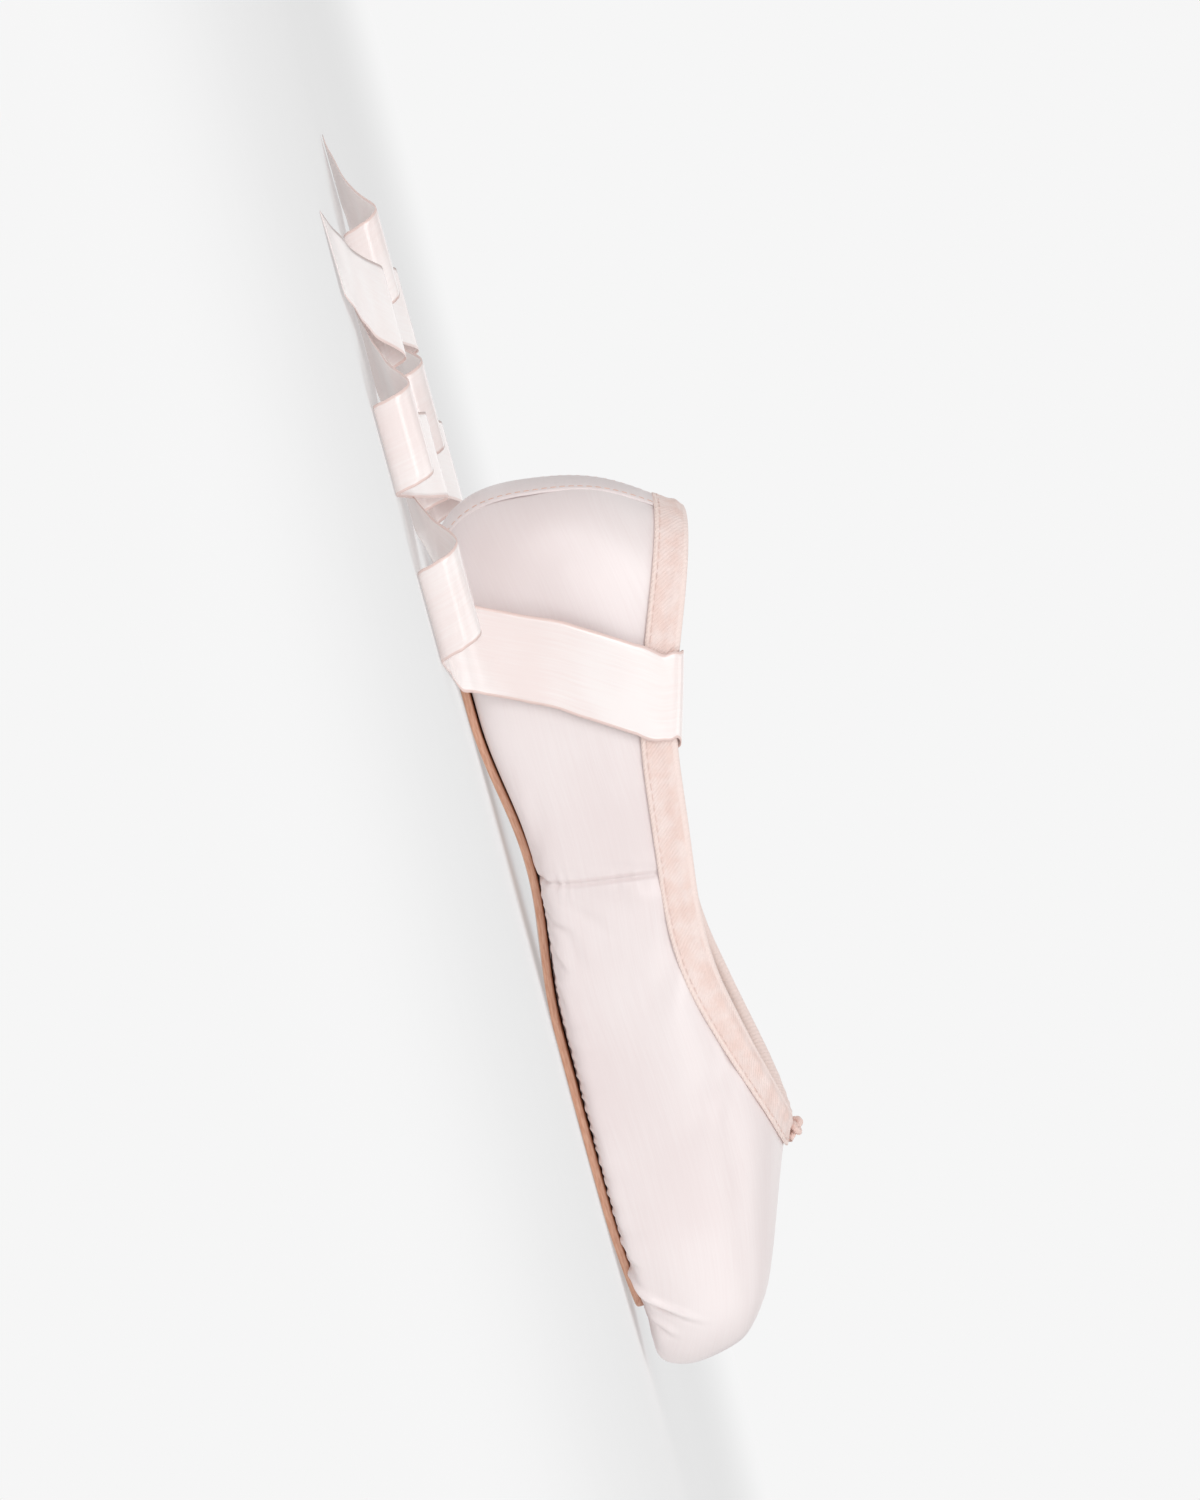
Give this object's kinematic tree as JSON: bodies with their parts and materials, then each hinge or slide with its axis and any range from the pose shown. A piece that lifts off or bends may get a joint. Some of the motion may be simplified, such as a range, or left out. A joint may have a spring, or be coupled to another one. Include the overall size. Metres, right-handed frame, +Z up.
{
  "type": "pointe shoe",
  "caption": "Satin ballet shoe for standing on the toes, with a stiff toe box, a narrow leather sole, a bound collar with its drawstring knot, and ribbons trailing behind the heel.",
  "frame": {"origin": "on the floor, under the middle of the shoe without its ribbons: its length runs from the back of the heel to the platform, and its width is even on both sides", "axes": "+X towards the toe, +Z up, +Y the wearer's left"},
  "size_m": [0.3261, 0.2088, 0.0674],
  "materials": {
    "satin": "pale pink shoe satin over canvas, stiffened with paste at the toe box, soft sheen",
    "sole_leather": "thin buffed leather, matt, with a darker cut edge and light wear",
    "insole_lining": "undyed cotton over board, matt",
    "cotton_tape": "woven peach cotton tape, matt, stitched along its edge",
    "ribbon_satin": "double-faced satin ribbon with woven edges, soft highlights"
  },
  "bodies": {
    "root": {"upper": "satin", "outsole": "sole_leather", "insole": "insole_lining", "binding": "cotton_tape", "drawstring_knot": "cotton_tape", "ribbon_left": "ribbon_satin", "ribbon_right": "ribbon_satin"}
  },
  "joints": []
}
